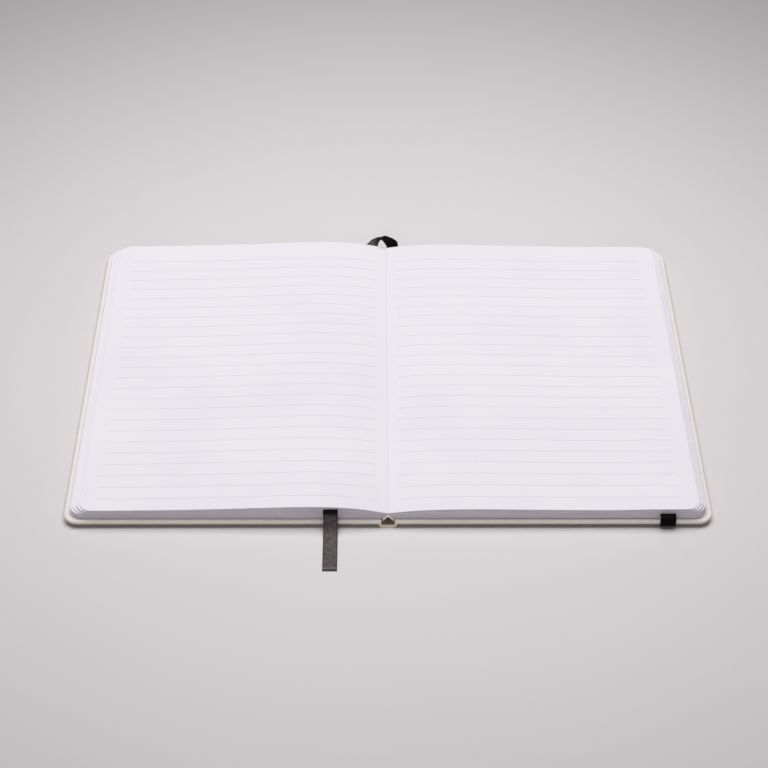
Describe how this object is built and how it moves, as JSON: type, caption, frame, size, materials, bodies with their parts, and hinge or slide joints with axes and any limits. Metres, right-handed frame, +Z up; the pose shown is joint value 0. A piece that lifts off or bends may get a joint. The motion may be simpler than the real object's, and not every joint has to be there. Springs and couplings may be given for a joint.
{
  "type": "open notebook",
  "caption": "Hard-cover ruled notebook lying open, with rounded corners, a ribbon marker and an elastic closure; each cover folds up with its leaves.",
  "frame": {"origin": "on the resting surface, under the middle of the spine strip", "axes": "+X across the open spread towards the back cover, +Y up the page from tail to head, +Z up"},
  "size_m": [0.3, 0.2431, 0.0124],
  "materials": {
    "cover_cloth": "fine-grained matte cream imitation leather",
    "board": "grey binder's board",
    "paper": "smooth white writing paper with pale grey ruled lines",
    "endpaper": "heavy white paper",
    "lining": "pale lining strip",
    "ribbon": "dark grey satin ribbon",
    "elastic": "black woven elastic"
  },
  "bodies": {
    "spine": {"spine_strip": "board", "spine_cloth": "cover_cloth", "front_joint": "cover_cloth", "back_joint": "cover_cloth", "back_lining": "lining", "bound_back": "paper"},
    "front_half": {"front_board": "board", "front_cover_cloth": "cover_cloth", "front_endpaper": "endpaper", "left_leaves": "paper", "ribbon_marker": "ribbon"},
    "back_half": {"back_board": "board", "back_cover_cloth": "cover_cloth", "back_endpaper": "endpaper", "right_leaves": "paper", "elastic_band": "elastic"}
  },
  "joints": [
    {"name": "front_cover_hinge", "type": "hinge", "parent": "spine", "child": "front_half", "pos_m": [-0.007, 0, 0.00375], "axis": [0, 1, 0], "range_deg": [0, 90], "deforming": ["front_joint", "back_lining", "bound_back", "ribbon_marker"]},
    {"name": "back_cover_hinge", "type": "hinge", "parent": "spine", "child": "back_half", "pos_m": [0.007, 0, 0.00375], "axis": [0, -1, 0], "range_deg": [0, 90], "deforming": ["back_joint", "back_lining", "bound_back"]}
  ]
}
